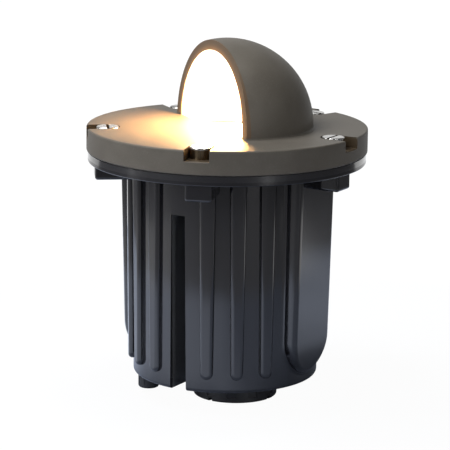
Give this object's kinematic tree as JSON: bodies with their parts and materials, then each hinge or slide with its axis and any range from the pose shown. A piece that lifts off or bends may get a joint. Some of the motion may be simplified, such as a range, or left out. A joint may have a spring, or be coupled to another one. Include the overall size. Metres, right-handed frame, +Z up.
{
  "type": "in ground well light",
  "caption": "Round buried uplight with a half-dome hood cast on its screwed cover, a ribbed can below, and an aimable lamp on a gimbal inside.",
  "frame": {"origin": "on the axis through the middle of the cover, at the height of the face the light stands on", "axes": "+Z up through the cover and hood; the hood's mouth throws its light towards -Y; +X is to the right when looking along +Y into the mouth"},
  "size_m": [0.216, 0.216, 0.2784],
  "materials": {
    "bronze_coat": "fine textured powder coat, white enamel inside the hood",
    "clear_glass": "polished",
    "seal_rubber": "matte",
    "stainless": "bright",
    "brass": "turned",
    "black_body": "glossy moulded",
    "black_fitting": "satin moulded",
    "plated_steel": "zinc plated",
    "cast_lamp": "as cast",
    "circuit_board": "solder resist",
    "phosphor": "silicone dome",
    "reflector": "vacuum metallised",
    "driver_shell": "moulded",
    "terminal_body": "moulded",
    "lead_sheath": "satin",
    "nylon": "natural"
  },
  "bodies": {
    "housing": {"housing_can": "black_body", "housing_floor": "black_body", "housing_flange": "black_body", "channel_lining": "black_body", "cover_seal": "seal_rubber", "threaded_inserts": "brass", "riser_hub": "black_fitting", "hub_seal": "seal_rubber", "hub_locknut": "black_fitting", "gland_body": "black_fitting", "gland_seal": "seal_rubber", "gland_nut": "black_fitting", "gland_locknut": "black_fitting", "channel_plugs": "seal_rubber", "lamp_carrier": "plated_steel", "carrier_screws": "stainless", "turntable_keeper": "plated_steel", "driver_tray": "plated_steel", "driver_tray_screws": "stainless", "driver_case": "driver_shell", "driver_cap": "driver_shell", "terminal_block": "terminal_body", "terminal_screws": "stainless", "driver_lead": "lead_sheath", "lamp_lead": "lead_sheath", "lamp_connector": "terminal_body", "earth_stud": "brass"},
    "cover": {"cover_casting": "bronze_coat", "glass_seal": "seal_rubber", "lens_glass": "clear_glass", "glass_clamp_ring": "plated_steel", "glass_clamp_screws": "stainless", "cover_screws": "stainless", "cover_screw_washers": "stainless", "cover_screw_keepers": "nylon"},
    "lamp_turntable": {"turntable": "plated_steel"},
    "lamp": {"lamp_body": "cast_lamp", "led_board": "circuit_board", "led_chip": "phosphor", "lamp_reflector": "reflector", "lamp_glass": "clear_glass", "lamp_bezel": "cast_lamp", "bezel_screws": "stainless", "tilt_screws": "stainless", "tilt_washers": "nylon"}
  },
  "joints": [
    {"name": "cover_lift", "type": "slide", "parent": "housing", "child": "cover", "axis": [0, 0, 1], "range_m": [0, 0.06]},
    {"name": "lamp_turn", "type": "hinge", "parent": "housing", "child": "lamp_turntable", "pos_m": [0, 0, 0.1675], "axis": [0, 0, 1], "range_deg": [-170, 170]},
    {"name": "lamp_tilt", "type": "hinge", "parent": "lamp_turntable", "child": "lamp", "pos_m": [0, 0, 0.177], "axis": [1, 0, 0], "range_deg": [-15, 15]}
  ]
}
